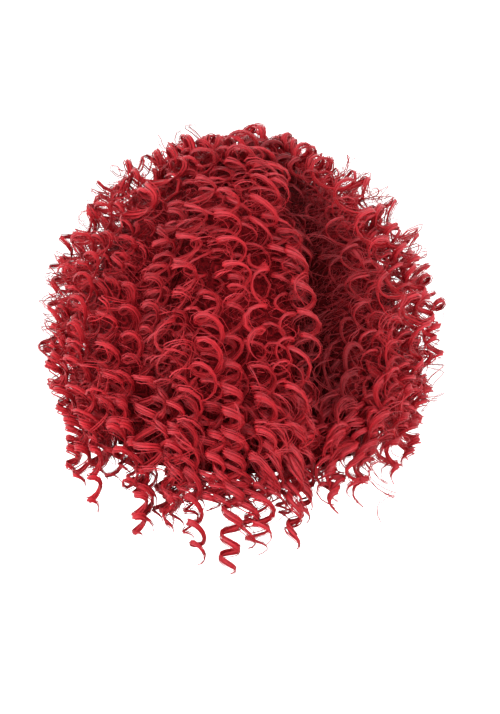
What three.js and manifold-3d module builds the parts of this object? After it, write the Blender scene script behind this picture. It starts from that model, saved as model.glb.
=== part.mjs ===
// A curly costume wig: a thin stretch cap, and five groups of corkscrew locks sewn on it.
// Millimetres, +Z up. The face looks along -Y and the wearer's left is +X.
// The origin is the inside of the cap at the crown, where the cap rests on the head.
// An azimuth is in degrees round +Z from the back of the head, growing towards the wearer's left.
import * as THREE from "three";
import { mergeVertices } from "three/addons/utils/BufferGeometryUtils.js";
import Module from "manifold-3d";

// Head and cap
const HEAD_HALF_WIDTH = 76;
const HEAD_BACK = 98;
const HEAD_FRONT = 94;
const CROWN_HEIGHT = 92; // from the head's widest level up to the crown
const NAPE_DROP = 150; // from the crown down to the cap's edge at the nape
const NAPE_TUCK = 0.2; // share by which the head draws in between its widest level and the nape
const CAP_WALL = 2;
const SEAT_GAP = 0.35; // between pieces that lie on each other
const GROUP_GAP = 0.8; // between neighbouring groups of hair

// Hair
const HAIR_RISE = 42; // from the crown up to the top of the hair
const HAIR_HALF_WIDTH = 175;
const HAIR_BACK = 176;
const HAIR_FRONT = 152;
const WIDEST_DROP = 150; // from the crown down to the level where the hair is widest
const HAIR_DROP = 354; // from the crown down to the lowest tip
const OUTLINE_POWER = 2.15; // how square the hair is from above
const NECK_FLARE = 24; // by which the hollow widens from the cap's edge to the shoulders
const NECK_FLARE_DROP = 195; // from the crown down to the end of that flare
const FACE_HALF_WIDTH = 62;
const HAIRLINE_COVER = 4; // by which the hair reaches below the cap's edge over the forehead
const CROWN_GROUP_RADIUS = 60;

// Locks
const LOCK_WIDTH = 24;
const LOCK_THICKNESS = 12;
const COIL_LENGTH = 27; // length of lock from one visible turn to the next
const LOCK_CLEARANCE = 1.5; // between a lock and the mass under it
const ROOT_RUN = 22; // length over which a lock rises out of the mass
const TIP_RUN = 30; // length over which it tapers at its end
const STEPS_PER_TURN = 3;

// The cap's edge, as a share of NAPE_DROP
const CAP_EDGE = [
  { azimuth: 0, drop: 1.0 },
  { azimuth: 40, drop: 0.95 },
  { azimuth: 80, drop: 0.64 },
  { azimuth: 98, drop: 0.64 },
  { azimuth: 118, drop: 0.76 },
  { azimuth: 142, drop: 0.52 },
  { azimuth: 180, drop: 0.4 },
];

// The hair above its widest level: drop is a share of the height from the top to that level
const DOME = [
  { drop: 0.0, radius: 0.0 },
  { drop: 0.035, radius: 0.25 },
  { drop: 0.1, radius: 0.43 },
  { drop: 0.19, radius: 0.56 },
  { drop: 0.3, radius: 0.68 },
  { drop: 0.43, radius: 0.79 },
  { drop: 0.58, radius: 0.88 },
  { drop: 0.78, radius: 0.96 },
  { drop: 1.0, radius: 1.0 },
];

// The hair below it: fall is a share of the way down to the end of the mass
const SKIRT = [
  { fall: 0.4, radius: 0.985 },
  { fall: 0.75, radius: 0.93 },
  { fall: 1.0, radius: 0.85 },
];

// Where the mass ends and the locks hang free, as a share of HAIR_DROP
const MASS_END = [
  { azimuth: 0, drop: 0.74 },
  { azimuth: 40, drop: 0.73 },
  { azimuth: 70, drop: 0.68 },
  { azimuth: 100, drop: 0.64 },
  { azimuth: 180, drop: 0.58 },
];

// Furrows between the groups, as a share of the hair's radius
const FURROWS = [
  { azimuth: -30, depth: 0.17, spread: 8 },
  { azimuth: 36, depth: 0.14, spread: 8 },
  { azimuth: -128, depth: 0.08, spread: 8 },
  { azimuth: 128, depth: 0.08, spread: 8 },
];

// The groups that hang round the crown, each from one furrow to the next
const GROUPS = [
  { name: "hair_back", from: -30, to: 36 },
  { name: "hair_left", from: 36, to: 128 },
  { name: "hair_front", from: 128, to: 232 },
  { name: "hair_right", from: 232, to: 330 },
];

// Tiers of locks that lie on the mass: start and length are shares of the way from the top to the mass's end
const TIERS = [
  { from: -30, to: 36, start: 0.23, length: 0.28, count: 4 },
  { from: 36, to: 128, start: 0.26, length: 0.28, count: 5 },
  { from: 232, to: 330, start: 0.26, length: 0.28, count: 5 },
  { from: 134, to: 226, start: 0.27, length: 0.24, count: 6 },
  { from: -30, to: 36, start: 0.53, length: 0.28, count: 5 },
  { from: 36, to: 128, start: 0.56, length: 0.28, count: 6 },
  { from: 232, to: 330, start: 0.56, length: 0.28, count: 6 },
  { from: 129, to: 152, start: 0.52, length: 0.28, count: 2 },
  { from: 208, to: 231, start: 0.52, length: 0.28, count: 2 },
];

// Locks that hang free at the bottom: tip is a share of HAIR_DROP
const HANGING = [
  { azimuth: -140, tip: 0.66 },
  { azimuth: -117, tip: 0.7 },
  { azimuth: -104, tip: 0.74 },
  { azimuth: -90, tip: 0.76 },
  { azimuth: -76, tip: 0.78 },
  { azimuth: -62, tip: 0.8 },
  { azimuth: -50, tip: 0.84 },
  { azimuth: -38, tip: 0.86 },
  { azimuth: -21, tip: 0.94 },
  { azimuth: -8, tip: 0.92 },
  { azimuth: 4, tip: 1.0 },
  { azimuth: 17, tip: 0.97 },
  { azimuth: 28, tip: 0.9 },
  { azimuth: 44, tip: 0.92 },
  { azimuth: 56, tip: 0.86 },
  { azimuth: 69, tip: 0.83 },
  { azimuth: 83, tip: 0.81 },
  { azimuth: 98, tip: 0.77 },
  { azimuth: 115, tip: 0.71 },
  { azimuth: 140, tip: 0.66 },
];

// Locks that spread from the crown: start and length are shares of the way from the top to the mass's end
const CROWN_LOCKS = { start: 0.03, length: 0.19, count: 8, first: 4 };

const CAP_SLICES = 24;
const CAP_RINGS = 6;
const MASS_SLICES = 48;
const MASS_RINGS = 8;

const REACH = HAIR_DROP + HAIR_RISE; // how far cutting solids run, past all the hair
const DOWN = new THREE.Vector3(0, 0, -1);
const radians = THREE.MathUtils.degToRad;

const wasm = await Module();
wasm.setup();

// Turns a closed three.js geometry into a solid that can be joined and cut.
function solidOf(geometry) {
  const bare = geometry.index ? geometry.toNonIndexed() : geometry.clone();
  bare.deleteAttribute("normal");
  bare.deleteAttribute("uv");
  const merged = mergeVertices(bare, 1e-4);
  return new wasm.Manifold(
    new wasm.Mesh({
      numProp: 3,
      vertProperties: merged.attributes.position.array,
      triVerts: new Uint32Array(merged.index.array),
    }),
  );
}

// Turns a solid back into a three.js geometry.
function geometryOf(solid) {
  const mesh = solid.getMesh();
  const geometry = new THREE.BufferGeometry();
  const position = new THREE.BufferAttribute(new Float32Array(mesh.vertProperties), 3);
  geometry.setAttribute("position", position);
  geometry.setIndex(new THREE.BufferAttribute(new Uint32Array(mesh.triVerts), 1));
  geometry.computeVertexNormals();
  return geometry;
}

// A closed skin through rings of points. It ends in a point at both ends, or joins its last ring to its first.
function skinOf(rings, ends) {
  const sides = rings[0].length;
  const points = rings.flat();
  const index = [];
  const strip = (a, b) => {
    for (let i = 0; i < sides; i++) {
      const j = (i + 1) % sides;
      index.push(a * sides + i, a * sides + j, b * sides + i);
      index.push(a * sides + j, b * sides + j, b * sides + i);
    }
  };
  for (let k = 0; k + 1 < rings.length; k++) strip(k, k + 1);
  if (ends) {
    const first = points.push(ends[0]) - 1;
    const last = points.push(ends[1]) - 1;
    const top = (rings.length - 1) * sides;
    for (let i = 0; i < sides; i++) {
      const j = (i + 1) % sides;
      index.push(first, j, i);
      index.push(last, top + i, top + j);
    }
  } else {
    strip(rings.length - 1, 0);
  }
  return new THREE.BufferGeometry().setFromPoints(points).setIndex(index);
}

// Reads a column of a table that is symmetric left to right, easing between its rows.
function atAzimuth(table, column, azimuth) {
  const a = Math.abs(THREE.MathUtils.euclideanModulo(azimuth + 180, 360) - 180);
  const next = Math.max(1, table.findIndex((row) => row.azimuth >= a));
  const low = table[next - 1];
  const high = table[next];
  const share = THREE.MathUtils.smoothstep(a, low.azimuth, high.azimuth);
  return THREE.MathUtils.lerp(low[column], high[column], share);
}

// A number from 0 to 1 that differs from one index to the next, for natural variety.
function vary(index, salt) {
  const golden = 0.61803398875;
  return THREE.MathUtils.euclideanModulo((index + 1) * golden + salt * 0.37, 1);
}

// Distance from the axis to an oval at an azimuth.
function ovalRadius(azimuth, side, back, front, power) {
  const across = Math.abs(Math.sin(radians(azimuth))) / side;
  const along = Math.cos(radians(azimuth));
  const depth = along > 0 ? along / back : -along / front;
  return (across ** power + depth ** power) ** (-1 / power);
}

function onAzimuth(azimuth, radius, z) {
  return new THREE.Vector3(radius * Math.sin(radians(azimuth)), radius * Math.cos(radians(azimuth)), z);
}

// A point of the head's surface, or of one that lies off it by an offset.
function headPoint(azimuth, drop, offset) {
  const rise = Math.max(0, 1 - drop / CROWN_HEIGHT);
  const below = Math.max(0, drop - CROWN_HEIGHT) / (NAPE_DROP - CROWN_HEIGHT);
  const level = Math.sqrt(1 - rise * rise);
  const radius = ovalRadius(azimuth, HEAD_HALF_WIDTH, HEAD_BACK, HEAD_FRONT, 2);
  const facing = Math.max(0, Math.cos(radians(azimuth)));
  const tuck = 1 - NAPE_TUCK * facing * below * below;
  const slope = Math.atan2(rise, level);
  return onAzimuth(
    azimuth,
    radius * level * tuck + offset * Math.cos(slope),
    -drop + offset * Math.sin(slope),
  );
}

const azimuthsOf = (slices) => Array.from({ length: slices }, (_, i) => (i * 360) / slices);

const capEdge = (azimuth) => NAPE_DROP * atAzimuth(CAP_EDGE, "drop", azimuth);

// A ring round the head at the same share of the way from the crown to the cap's edge.
function headRing(share, offset) {
  const arc = 1 - Math.cos((share * Math.PI) / 2);
  return azimuthsOf(CAP_SLICES).map((azimuth) => headPoint(azimuth, capEdge(azimuth) * arc, offset));
}

const capShares = Array.from({ length: CAP_RINGS }, (_, i) => (i + 1) / CAP_RINGS);

function makeCap() {
  const outer = capShares.map((share) => headRing(share, CAP_WALL));
  const inner = capShares.map((share) => headRing(share, 0)).reverse();
  return skinOf([...outer, ...inner], [new THREE.Vector3(0, 0, CAP_WALL), new THREE.Vector3(0, 0, 0)]);
}

// The hair's outer profile at an azimuth, from the top down to where the mass ends.
const profiles = new Map();
function profileAt(azimuth) {
  const key = azimuth.toFixed(3);
  if (profiles.has(key)) return profiles.get(key);
  const furrow = FURROWS.reduce((sum, f) => {
    const apart = THREE.MathUtils.euclideanModulo(azimuth - f.azimuth + 180, 360) - 180;
    return sum + f.depth * Math.exp(-((apart / f.spread) ** 2));
  }, 0);
  const radius = ovalRadius(azimuth, HAIR_HALF_WIDTH, HAIR_BACK, HAIR_FRONT, OUTLINE_POWER);
  const grooved = (share) => radius * share * (1 - furrow * THREE.MathUtils.smoothstep(share, 0.2, 0.6));
  const massEnd = HAIR_DROP * atAzimuth(MASS_END, "drop", azimuth);
  const dome = DOME.map((row) => {
    const z = HAIR_RISE - row.drop * (HAIR_RISE + WIDEST_DROP);
    return onAzimuth(azimuth, grooved(row.radius), z);
  });
  const skirt = SKIRT.map((row) => {
    const z = -WIDEST_DROP - row.fall * (massEnd - WIDEST_DROP);
    return onAzimuth(azimuth, grooved(row.radius), z);
  });
  const curve = new THREE.CatmullRomCurve3([...dome, ...skirt], false, "centripetal");
  profiles.set(key, curve);
  return curve;
}

// A point under the hair's outer surface: distance runs down the profile and then straight down.
function hairPoint(azimuth, distance, depth) {
  const curve = profileAt(azimuth);
  const length = curve.getLength();
  const on = Math.min(1, distance / length);
  const along = curve.getTangentAt(on);
  const sideways = onAzimuth(azimuth + 90, 1, 0);
  const outward = new THREE.Vector3().crossVectors(sideways, along).normalize();
  const past = Math.max(0, distance - length);
  return curve.getPointAt(on).addScaledVector(DOWN, past).addScaledVector(outward, -depth);
}

const LOCK_DEPTH = LOCK_WIDTH / 2;
const MASS_DEPTH = LOCK_WIDTH + LOCK_CLEARANCE;

// The hair's mass under the outer locks, with the face left open.
function makeMass() {
  const rings = [];
  for (let k = 1; k <= MASS_RINGS; k++) {
    rings.push(
      azimuthsOf(MASS_SLICES).map((azimuth) => {
        const length = profileAt(azimuth).getLength();
        const from = MASS_DEPTH;
        return hairPoint(azimuth, from + ((length - from) * k) / MASS_RINGS, MASS_DEPTH);
      }),
    );
  }
  const lowest = Math.min(...rings[rings.length - 1].map((p) => p.z));
  const top = new THREE.Vector3(0, 0, HAIR_RISE - MASS_DEPTH);
  const outer = solidOf(skinOf(rings, [top, new THREE.Vector3(0, 0, lowest)]));
  return outer.subtract(makeFaceOpening());
}

// The space for the cap, the head and the neck.
function makeHollow() {
  const offset = CAP_WALL + SEAT_GAP;
  const rings = capShares.map((share) => headRing(share, offset));
  const flare = (z) => azimuthsOf(CAP_SLICES).map((a) => headPoint(a, NAPE_DROP, offset + NECK_FLARE).setZ(z));
  rings.push(flare(-NECK_FLARE_DROP), flare(-REACH));
  return solidOf(skinOf(rings, [new THREE.Vector3(0, 0, offset), new THREE.Vector3(0, 0, -REACH)]));
}

// An arch in front of the face, open at the bottom.
function makeFaceOpening() {
  const spring = -capEdge(180) - HAIRLINE_COVER - FACE_HALF_WIDTH;
  const arch = new THREE.Shape();
  arch.moveTo(-FACE_HALF_WIDTH, -REACH);
  arch.lineTo(FACE_HALF_WIDTH, -REACH);
  arch.lineTo(FACE_HALF_WIDTH, spring);
  arch.absarc(0, spring, FACE_HALF_WIDTH, 0, Math.PI, false);
  const tunnel = new THREE.ExtrudeGeometry(arch, { depth: REACH, bevelEnabled: false, curveSegments: 12 });
  return solidOf(tunnel.rotateX(Math.PI / 2));
}

// An upright prism that holds the groups between two azimuths, inside or outside the crown's circle.
function sectorSolid(from, to, inner, outer) {
  const sector = new THREE.Shape();
  const side = GROUP_GAP / 2;
  const steps = Math.ceil(((to - from) / 360) * MASS_SLICES);
  const point = (azimuth, radius, shift) => {
    const p = onAzimuth(azimuth, radius, 0).addScaledVector(onAzimuth(azimuth + 90, 1, 0), shift);
    return new THREE.Vector2(p.x, p.y);
  };
  const near = [];
  const far = [];
  for (let k = 0; k <= steps; k++) {
    const azimuth = from + ((to - from) * k) / steps;
    const shift = k === 0 ? side : k === steps ? -side : 0;
    near.push(point(azimuth, inner, shift));
    far.push(point(azimuth, outer, shift));
  }
  sector.setFromPoints([...near, ...far.reverse()]);
  const prism = new THREE.ExtrudeGeometry(sector, { depth: 2 * REACH, bevelEnabled: false });
  return solidOf(prism.translate(0, 0, -REACH));
}

// One corkscrew lock: a lens-shaped section that twists along the lock's route and tapers to its tip.
function makeLock({ azimuth, start, length, index }) {
  const steps = Math.max(4, Math.round((length / COIL_LENGTH) * STEPS_PER_TURN));
  const route = [];
  for (let k = 0; k <= steps; k++) {
    const run = (length * k) / steps;
    const rising = THREE.MathUtils.smoothstep(run, 0, ROOT_RUN);
    const depth = THREE.MathUtils.lerp(MASS_DEPTH + LOCK_DEPTH / 2, LOCK_DEPTH, rising);
    route.push(hairPoint(azimuth, start + run, depth));
  }
  const curve = new THREE.CatmullRomCurve3(route);
  const { normals, binormals } = curve.computeFrenetFrames(steps, false);
  const phase = vary(index, 1) * Math.PI;
  const rings = route.map((centre, k) => {
    const run = (length * k) / steps;
    const root = THREE.MathUtils.lerp(0.55, 1, THREE.MathUtils.smoothstep(run, 0, ROOT_RUN));
    const tip = THREE.MathUtils.lerp(0.4, 1, THREE.MathUtils.smoothstep(length - run, 0, TIP_RUN));
    const turn = phase + (run / COIL_LENGTH) * Math.PI;
    return [0, 1, 2, 3].map((corner) => {
      const reach = (corner % 2 ? LOCK_THICKNESS : LOCK_WIDTH) / 2;
      const angle = turn + (corner * Math.PI) / 2;
      return centre
        .clone()
        .addScaledVector(normals[k], Math.cos(angle) * reach * root * tip)
        .addScaledVector(binormals[k], Math.sin(angle) * reach * root * tip);
    });
  });
  const last = route.length - 1;
  return solidOf(skinOf(rings, [route[0], route[last]]));
}

// Locks of a tier, spread over its azimuths.
function tierLocks({ from, to, start, length, count }, order) {
  return Array.from({ length: count }, (_, i) => {
    const azimuth = from + ((to - from) * (i + 0.5 + 0.25 * (vary(i, order) - 0.5))) / count;
    const full = profileAt(azimuth).getLength();
    const grown = length * full * (0.9 + 0.2 * vary(i, order + 2));
    return { azimuth, start: start * full, length: grown, index: i + 7 * order };
  });
}

function hangingLock({ azimuth, tip }, index) {
  const full = profileAt(azimuth).getLength();
  const massEnd = HAIR_DROP * atAzimuth(MASS_END, "drop", azimuth);
  const start = full - ROOT_RUN - COIL_LENGTH;
  const end = full + tip * HAIR_DROP - massEnd;
  return { azimuth, start, length: end - start, index };
}

// Whether an azimuth lies between two others.
function within(azimuth, { from, to }) {
  return THREE.MathUtils.euclideanModulo(azimuth - from, 360) < to - from;
}

function crownLocks() {
  const { start, length, count, first } = CROWN_LOCKS;
  return Array.from({ length: count }, (_, i) => {
    const azimuth = first + (360 * i) / count;
    const full = profileAt(azimuth).getLength();
    return { azimuth, start: start * full, length: length * full, index: i };
  });
}

const join = (solid, locks) => locks.map(makeLock).reduce((sum, lock) => sum.add(lock), solid);

const hairMaterial = new THREE.MeshStandardMaterial({ color: 0xb01c28, roughness: 0.45, metalness: 0 });
const netMaterial = new THREE.MeshStandardMaterial({ color: 0x3a0d12, roughness: 0.9, metalness: 0 });

const wig = new THREE.Group();
wig.name = "clown_wig";

function addPiece(name, geometry, material) {
  const mesh = new THREE.Mesh(geometry, material);
  mesh.name = name;
  wig.add(mesh);
}

addPiece("cap", makeCap(), netMaterial);

const mass = makeMass();
const hollow = makeHollow();
const crownEdge = CROWN_GROUP_RADIUS + GROUP_GAP;
const locks = [...TIERS.flatMap(tierLocks), ...HANGING.map(hangingLock)];
GROUPS.forEach((group) => {
  const sector = sectorSolid(group.from, group.to, crownEdge, REACH);
  const own = locks.filter((lock) => within(lock.azimuth, group));
  const solid = join(mass, own).intersect(sector).subtract(hollow);
  addPiece(group.name, geometryOf(solid), hairMaterial);
});

const crownDisc = new THREE.CylinderGeometry(CROWN_GROUP_RADIUS, CROWN_GROUP_RADIUS, 2 * REACH, MASS_SLICES);
const crown = mass.intersect(solidOf(crownDisc.rotateX(Math.PI / 2)));
addPiece("hair_crown", geometryOf(join(crown, crownLocks()).subtract(hollow)), hairMaterial);

export default wig;
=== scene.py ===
"""A curly costume wig in deep red: corkscrew locks round a stretch cap.

Lengths are millimetres until a mesh is built, and the meshes are in metres.
The face looks along -Y, the wearer's left is +X, and an azimuth runs from the back (+Y) towards +X.
"""

import math

import bpy
import numpy as np
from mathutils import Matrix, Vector


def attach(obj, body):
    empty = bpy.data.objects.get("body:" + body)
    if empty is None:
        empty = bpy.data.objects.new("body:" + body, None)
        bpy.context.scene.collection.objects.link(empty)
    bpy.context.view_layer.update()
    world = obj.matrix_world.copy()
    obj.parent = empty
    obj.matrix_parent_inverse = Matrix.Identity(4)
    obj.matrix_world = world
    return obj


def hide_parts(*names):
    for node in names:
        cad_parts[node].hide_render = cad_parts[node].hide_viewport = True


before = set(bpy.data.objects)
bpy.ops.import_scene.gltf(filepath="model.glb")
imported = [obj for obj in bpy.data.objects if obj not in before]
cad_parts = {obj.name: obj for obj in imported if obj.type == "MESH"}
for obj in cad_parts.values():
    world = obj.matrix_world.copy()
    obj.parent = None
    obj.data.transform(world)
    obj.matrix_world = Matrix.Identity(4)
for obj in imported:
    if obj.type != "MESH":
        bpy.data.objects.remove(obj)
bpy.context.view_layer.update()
rng = np.random.default_rng(11)
MM = 0.001

# The head, the cap and the outer form of the hair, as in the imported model
HEAD_HALF_WIDTH = 76
HEAD_BACK = 98
HEAD_FRONT = 94
CROWN_HEIGHT = 92
NAPE_DROP = 150
NAPE_TUCK = 0.2
CAP_WALL = 2
HAIR_RISE = 42
HAIR_HALF_WIDTH = 175
HAIR_BACK = 176
HAIR_FRONT = 152
WIDEST_DROP = 150
HAIR_DROP = 354
OUTLINE_POWER = 2.15
NECK_FLARE = 24
NECK_FLARE_DROP = 195
FACE_HALF_WIDTH = 62
HAIRLINE_DROP = 64
CROWN_GROUP_RADIUS = 60

# Drop as a share of the height from the top to the widest level, and the radius there
DOME = [
    (0.0, 0.0),
    (0.035, 0.25),
    (0.1, 0.43),
    (0.19, 0.56),
    (0.3, 0.68),
    (0.43, 0.79),
    (0.58, 0.88),
    (0.78, 0.96),
    (1.0, 1.0),
]
# Fall as a share of the way from there to the mass's end, and the radius there
SKIRT = [(0.4, 0.985), (0.75, 0.93), (1.0, 0.85)]
# Azimuth, and the end of the mass as a share of HAIR_DROP
MASS_END = [(0, 0.74), (40, 0.73), (70, 0.68), (100, 0.64), (180, 0.58)]
# Azimuth, depth as a share of the radius, and spread in degrees
FURROWS = [(-30, 0.17, 8), (36, 0.14, 8), (-128, 0.08, 8), (128, 0.08, 8)]
GROUPS = {"hair_back": (-30, 36), "hair_left": (36, 128), "hair_front": (128, 232), "hair_right": (232, 330)}
# Azimuth, and the tip as a share of HAIR_DROP, of each lock that hangs free
HANGING = [
    (-140, 0.66),
    (-117, 0.7),
    (-104, 0.71),
    (-90, 0.74),
    (-76, 0.755),
    (-62, 0.79),
    (-50, 0.84),
    (-38, 0.86),
    (-30, 0.88),
    (-21, 0.94),
    (-8, 0.92),
    (4, 1.0),
    (17, 0.97),
    (28, 0.9),
    (44, 0.92),
    (56, 0.86),
    (69, 0.81),
    (83, 0.78),
    (98, 0.74),
    (115, 0.71),
    (140, 0.66),
]

# The coil of a usual lock, how flat it lies at the back, and the angles of its loops in degrees
COIL_RADIUS = 11
RADIUS_SPREAD = (0.76, 1.2)
COIL_LENGTH = 30
LENGTH_SPREAD = (0.78, 1.3)
FLATTENED = 0.5
FLAT_SPREAD = (-0.1, 0.15)
LOOP_TILT = 44
LOOP_TILT_AT_TIPS = 20
TIPS_BEGIN, TIPS_END = 150, 260
LOOP_ROLL = 3
LOOP_SPREAD = 10
SWING = 36
TIP_PHASE = -150
TIP_SPREAD = 35
# Where round each loop the painted highlight is brightest, in degrees
PAINTED_HIGHLIGHT_PHASE = 25
USUAL_HAND_SHARE = 0.93
STEPS_PER_TURN = 12

# The rope of strands along the coil, and how thin or full it may be against a usual one
CORE_WIDTH = 3.2
CORE_THICKNESS = 1.8
CORE_FULLEST = 1.3
STRAND_WIDTH = 1.05
STRAND_FULLEST = 1.15
ROPE_WIDTH = 6.8
ROPE_THICKNESS = 3.4
THINNEST = 0.5
FULLEST = 1.32
HEAVY_ROPE = 1.3
HEAVY_FULLEST = 1.1
WISP_WIDTH = 0.6

# How far locks and single hairs may stand out of the outer form, and how far the hair lies under it
LOCK_PROUD = 12
FRIZZ_PROUD = 9
SIDE_FLARE = 6
SETTLE = 10
UNDER_DEPTH = 38
CROWN_UNDER_DEPTH = 27
HAIR_OVER_CAP = 1.5
THINNEST_MASS = 4
MASS_TOP_RUN = 66

# The azimuths of the full sides, and where the front with its closer hair begins
SIDE_BEGIN, SIDE_END = 55, 115
FRONT_BEGIN = 118
FRONT_CLOSER = 0.25

# The depths over which painted shade darkens the hair, and by what share
DARK_BEGIN = -6
DARK_RANGE = 46
FRIZZ_DARK_RANGE = 44
DEPTH_SHADE_SHARE = 0.3
FRIZZ_SHADE_SHARE = 0.6

# How far down its route a lock has come off its root and may cover the face or another lock
CLEAR_OF_ROOT = 26
ROUTE_BEGIN = 18

# Azimuth, spread in degrees, how dark the painted shade is, and the levels between which a shaded furrow
# fades out
SHADE = [(-33, 10, 1.2, -180, -240), (28, 7, 0.45, -190, -250)]


def smooth(t, low, high):
    """Eases from 0 at low to 1 at high."""
    x = np.clip((t - low) / (high - low), 0, 1)
    return x * x * (3 - 2 * x)


def by_azimuth(table, azimuth):
    """Reads a table that is the same on both sides, easing between its rows."""
    a = abs((azimuth + 180) % 360 - 180)
    for (a0, v0), (a1, v1) in zip(table, table[1:]):
        if a <= a1:
            return v0 + (v1 - v0) * float(smooth(a, a0, a1))
    return table[-1][1]


def centripetal(points, per):
    """A smooth curve through points, as a dense list."""
    p = np.array(points, float)
    p = np.vstack([2 * p[0] - p[1], p, 2 * p[-1] - p[-2]])
    out = []
    for i in range(1, len(p) - 2):
        d = [max(1e-4, np.linalg.norm(p[i + k] - p[i + k - 1]) ** 0.5) for k in (0, 1, 2)]
        x0, x1, x2, x3 = p[i - 1 : i + 3]
        t1 = ((x1 - x0) / d[0] - (x2 - x0) / (d[0] + d[1]) + (x2 - x1) / d[1]) * d[1]
        t2 = ((x2 - x1) / d[1] - (x3 - x1) / (d[1] + d[2]) + (x3 - x2) / d[2]) * d[1]
        for t in np.arange(per) / per:
            h = (2 * t**3 - 3 * t**2 + 1, t**3 - 2 * t**2 + t, -2 * t**3 + 3 * t**2, t**3 - t**2)
            out.append(h[0] * x1 + h[1] * t1 + h[2] * x2 + h[3] * t2)
    out.append(p[-2])
    return np.array(out)


def oval(azimuth, side, back, front, power):
    """The radius of an oval plan at an azimuth, from its half width, its back and its front."""
    across = np.abs(np.sin(np.radians(azimuth))) / side
    along = np.cos(np.radians(azimuth))
    depth = np.where(along > 0, along / back, -along / front)
    return (across**power + depth**power) ** (-1 / power)


# The hair's outer surface as a grid over azimuth and distance down the profile
AZ_STEP = 2
RUN_STEP = 3
RUN_MAX = 600
azimuths = np.arange(-180, 181, AZ_STEP)
runs = np.arange(0, RUN_MAX + 1, RUN_STEP)


def profile(azimuth):
    """Radius and height down the outer surface at an azimuth, and how long the surface is there."""
    furrow = sum(d * math.exp(-((((azimuth - a + 180) % 360 - 180) / w) ** 2)) for a, d, w in FURROWS)
    radius = float(oval(azimuth, HAIR_HALF_WIDTH, HAIR_BACK, HAIR_FRONT, OUTLINE_POWER))
    end = HAIR_DROP * by_azimuth(MASS_END, azimuth)
    rows = [(share, HAIR_RISE - drop * (HAIR_RISE + WIDEST_DROP)) for drop, share in DOME]
    rows += [(share, -WIDEST_DROP - fall * (end - WIDEST_DROP)) for fall, share in SKIRT]
    points = [(radius * s * (1 - furrow * float(smooth(s, 0.2, 0.6))), z) for s, z in rows]
    curve = centripetal(points, 12)
    along = np.concatenate([[0], np.cumsum(np.linalg.norm(np.diff(curve, axis=0), axis=1))])
    r = np.interp(runs, along, curve[:, 0])
    z = np.interp(runs, along, curve[:, 1]) - np.maximum(0, runs - along[-1])
    return r, z, along[-1]


grid_r, grid_z, full_length = (np.array(a) for a in zip(*(profile(a) for a in azimuths)))
slope_r = np.gradient(grid_r, RUN_STEP, axis=1)
slope_z = np.gradient(grid_z, RUN_STEP, axis=1)
steep = np.hypot(slope_r, slope_z)
normal_r, normal_z = -slope_z / steep, slope_r / steep


def look_up(grid, azimuth, run):
    """Reads a grid between its rows and columns."""
    a = ((np.asarray(azimuth, float) + 180) % 360) / AZ_STEP
    b = np.clip(np.asarray(run, float) / RUN_STEP, 0, len(runs) - 1.001)
    i, j = a.astype(int), b.astype(int)
    u, v = a - i, b - j
    k = np.minimum(i + 1, len(azimuths) - 1)
    low = grid[i, j] * (1 - v) + grid[i, j + 1] * v
    high = grid[k, j] * (1 - v) + grid[k, j + 1] * v
    return low * (1 - u) + high * u


def settled(azimuth, run):
    """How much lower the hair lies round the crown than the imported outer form."""
    high = smooth(look_up(grid_z, azimuth, run), -10, 15)
    return SETTLE * high * smooth(look_up(grid_r, azimuth, run), 15, 45)


def length_at(azimuth):
    return float(np.interp((azimuth + 180) % 360 - 180, azimuths, full_length))


def on_azimuth(azimuth, radius, z):
    a = np.radians(azimuth)
    return np.stack([radius * np.sin(a), radius * np.cos(a), z + 0 * a], axis=-1)


def hair_surface(azimuth, run, depth):
    """Points under the outer surface, and the outward direction there."""
    azimuth, run = np.broadcast_arrays(np.asarray(azimuth, float), np.asarray(run, float))
    outward = on_azimuth(azimuth, look_up(normal_r, azimuth, run), look_up(normal_z, azimuth, run))
    outward /= np.linalg.norm(outward, axis=-1, keepdims=True)
    point = on_azimuth(azimuth, look_up(grid_r, azimuth, run), look_up(grid_z, azimuth, run))
    return point - outward * np.asarray(depth, float)[..., None], outward


def head_surface(azimuth, drop, offset):
    """Points off the head, and below the nape off a neck that flares towards the shoulders."""
    rise = np.maximum(0, 1 - drop / CROWN_HEIGHT)
    below = np.clip((drop - CROWN_HEIGHT) / (NAPE_DROP - CROWN_HEIGHT), 0, 1)
    level = np.sqrt(1 - rise * rise)
    radius = oval(azimuth, HEAD_HALF_WIDTH, HEAD_BACK, HEAD_FRONT, 2)
    facing = np.maximum(0, np.cos(np.radians(azimuth)))
    tuck = 1 - NAPE_TUCK * facing * below * below
    slope = np.arctan2(rise, level)
    flare = NECK_FLARE * smooth(drop, NAPE_DROP, NECK_FLARE_DROP)
    r = radius * level * tuck + (offset + flare) * np.cos(slope)
    return on_azimuth(azimuth, r, -drop + offset * np.sin(slope))


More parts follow.
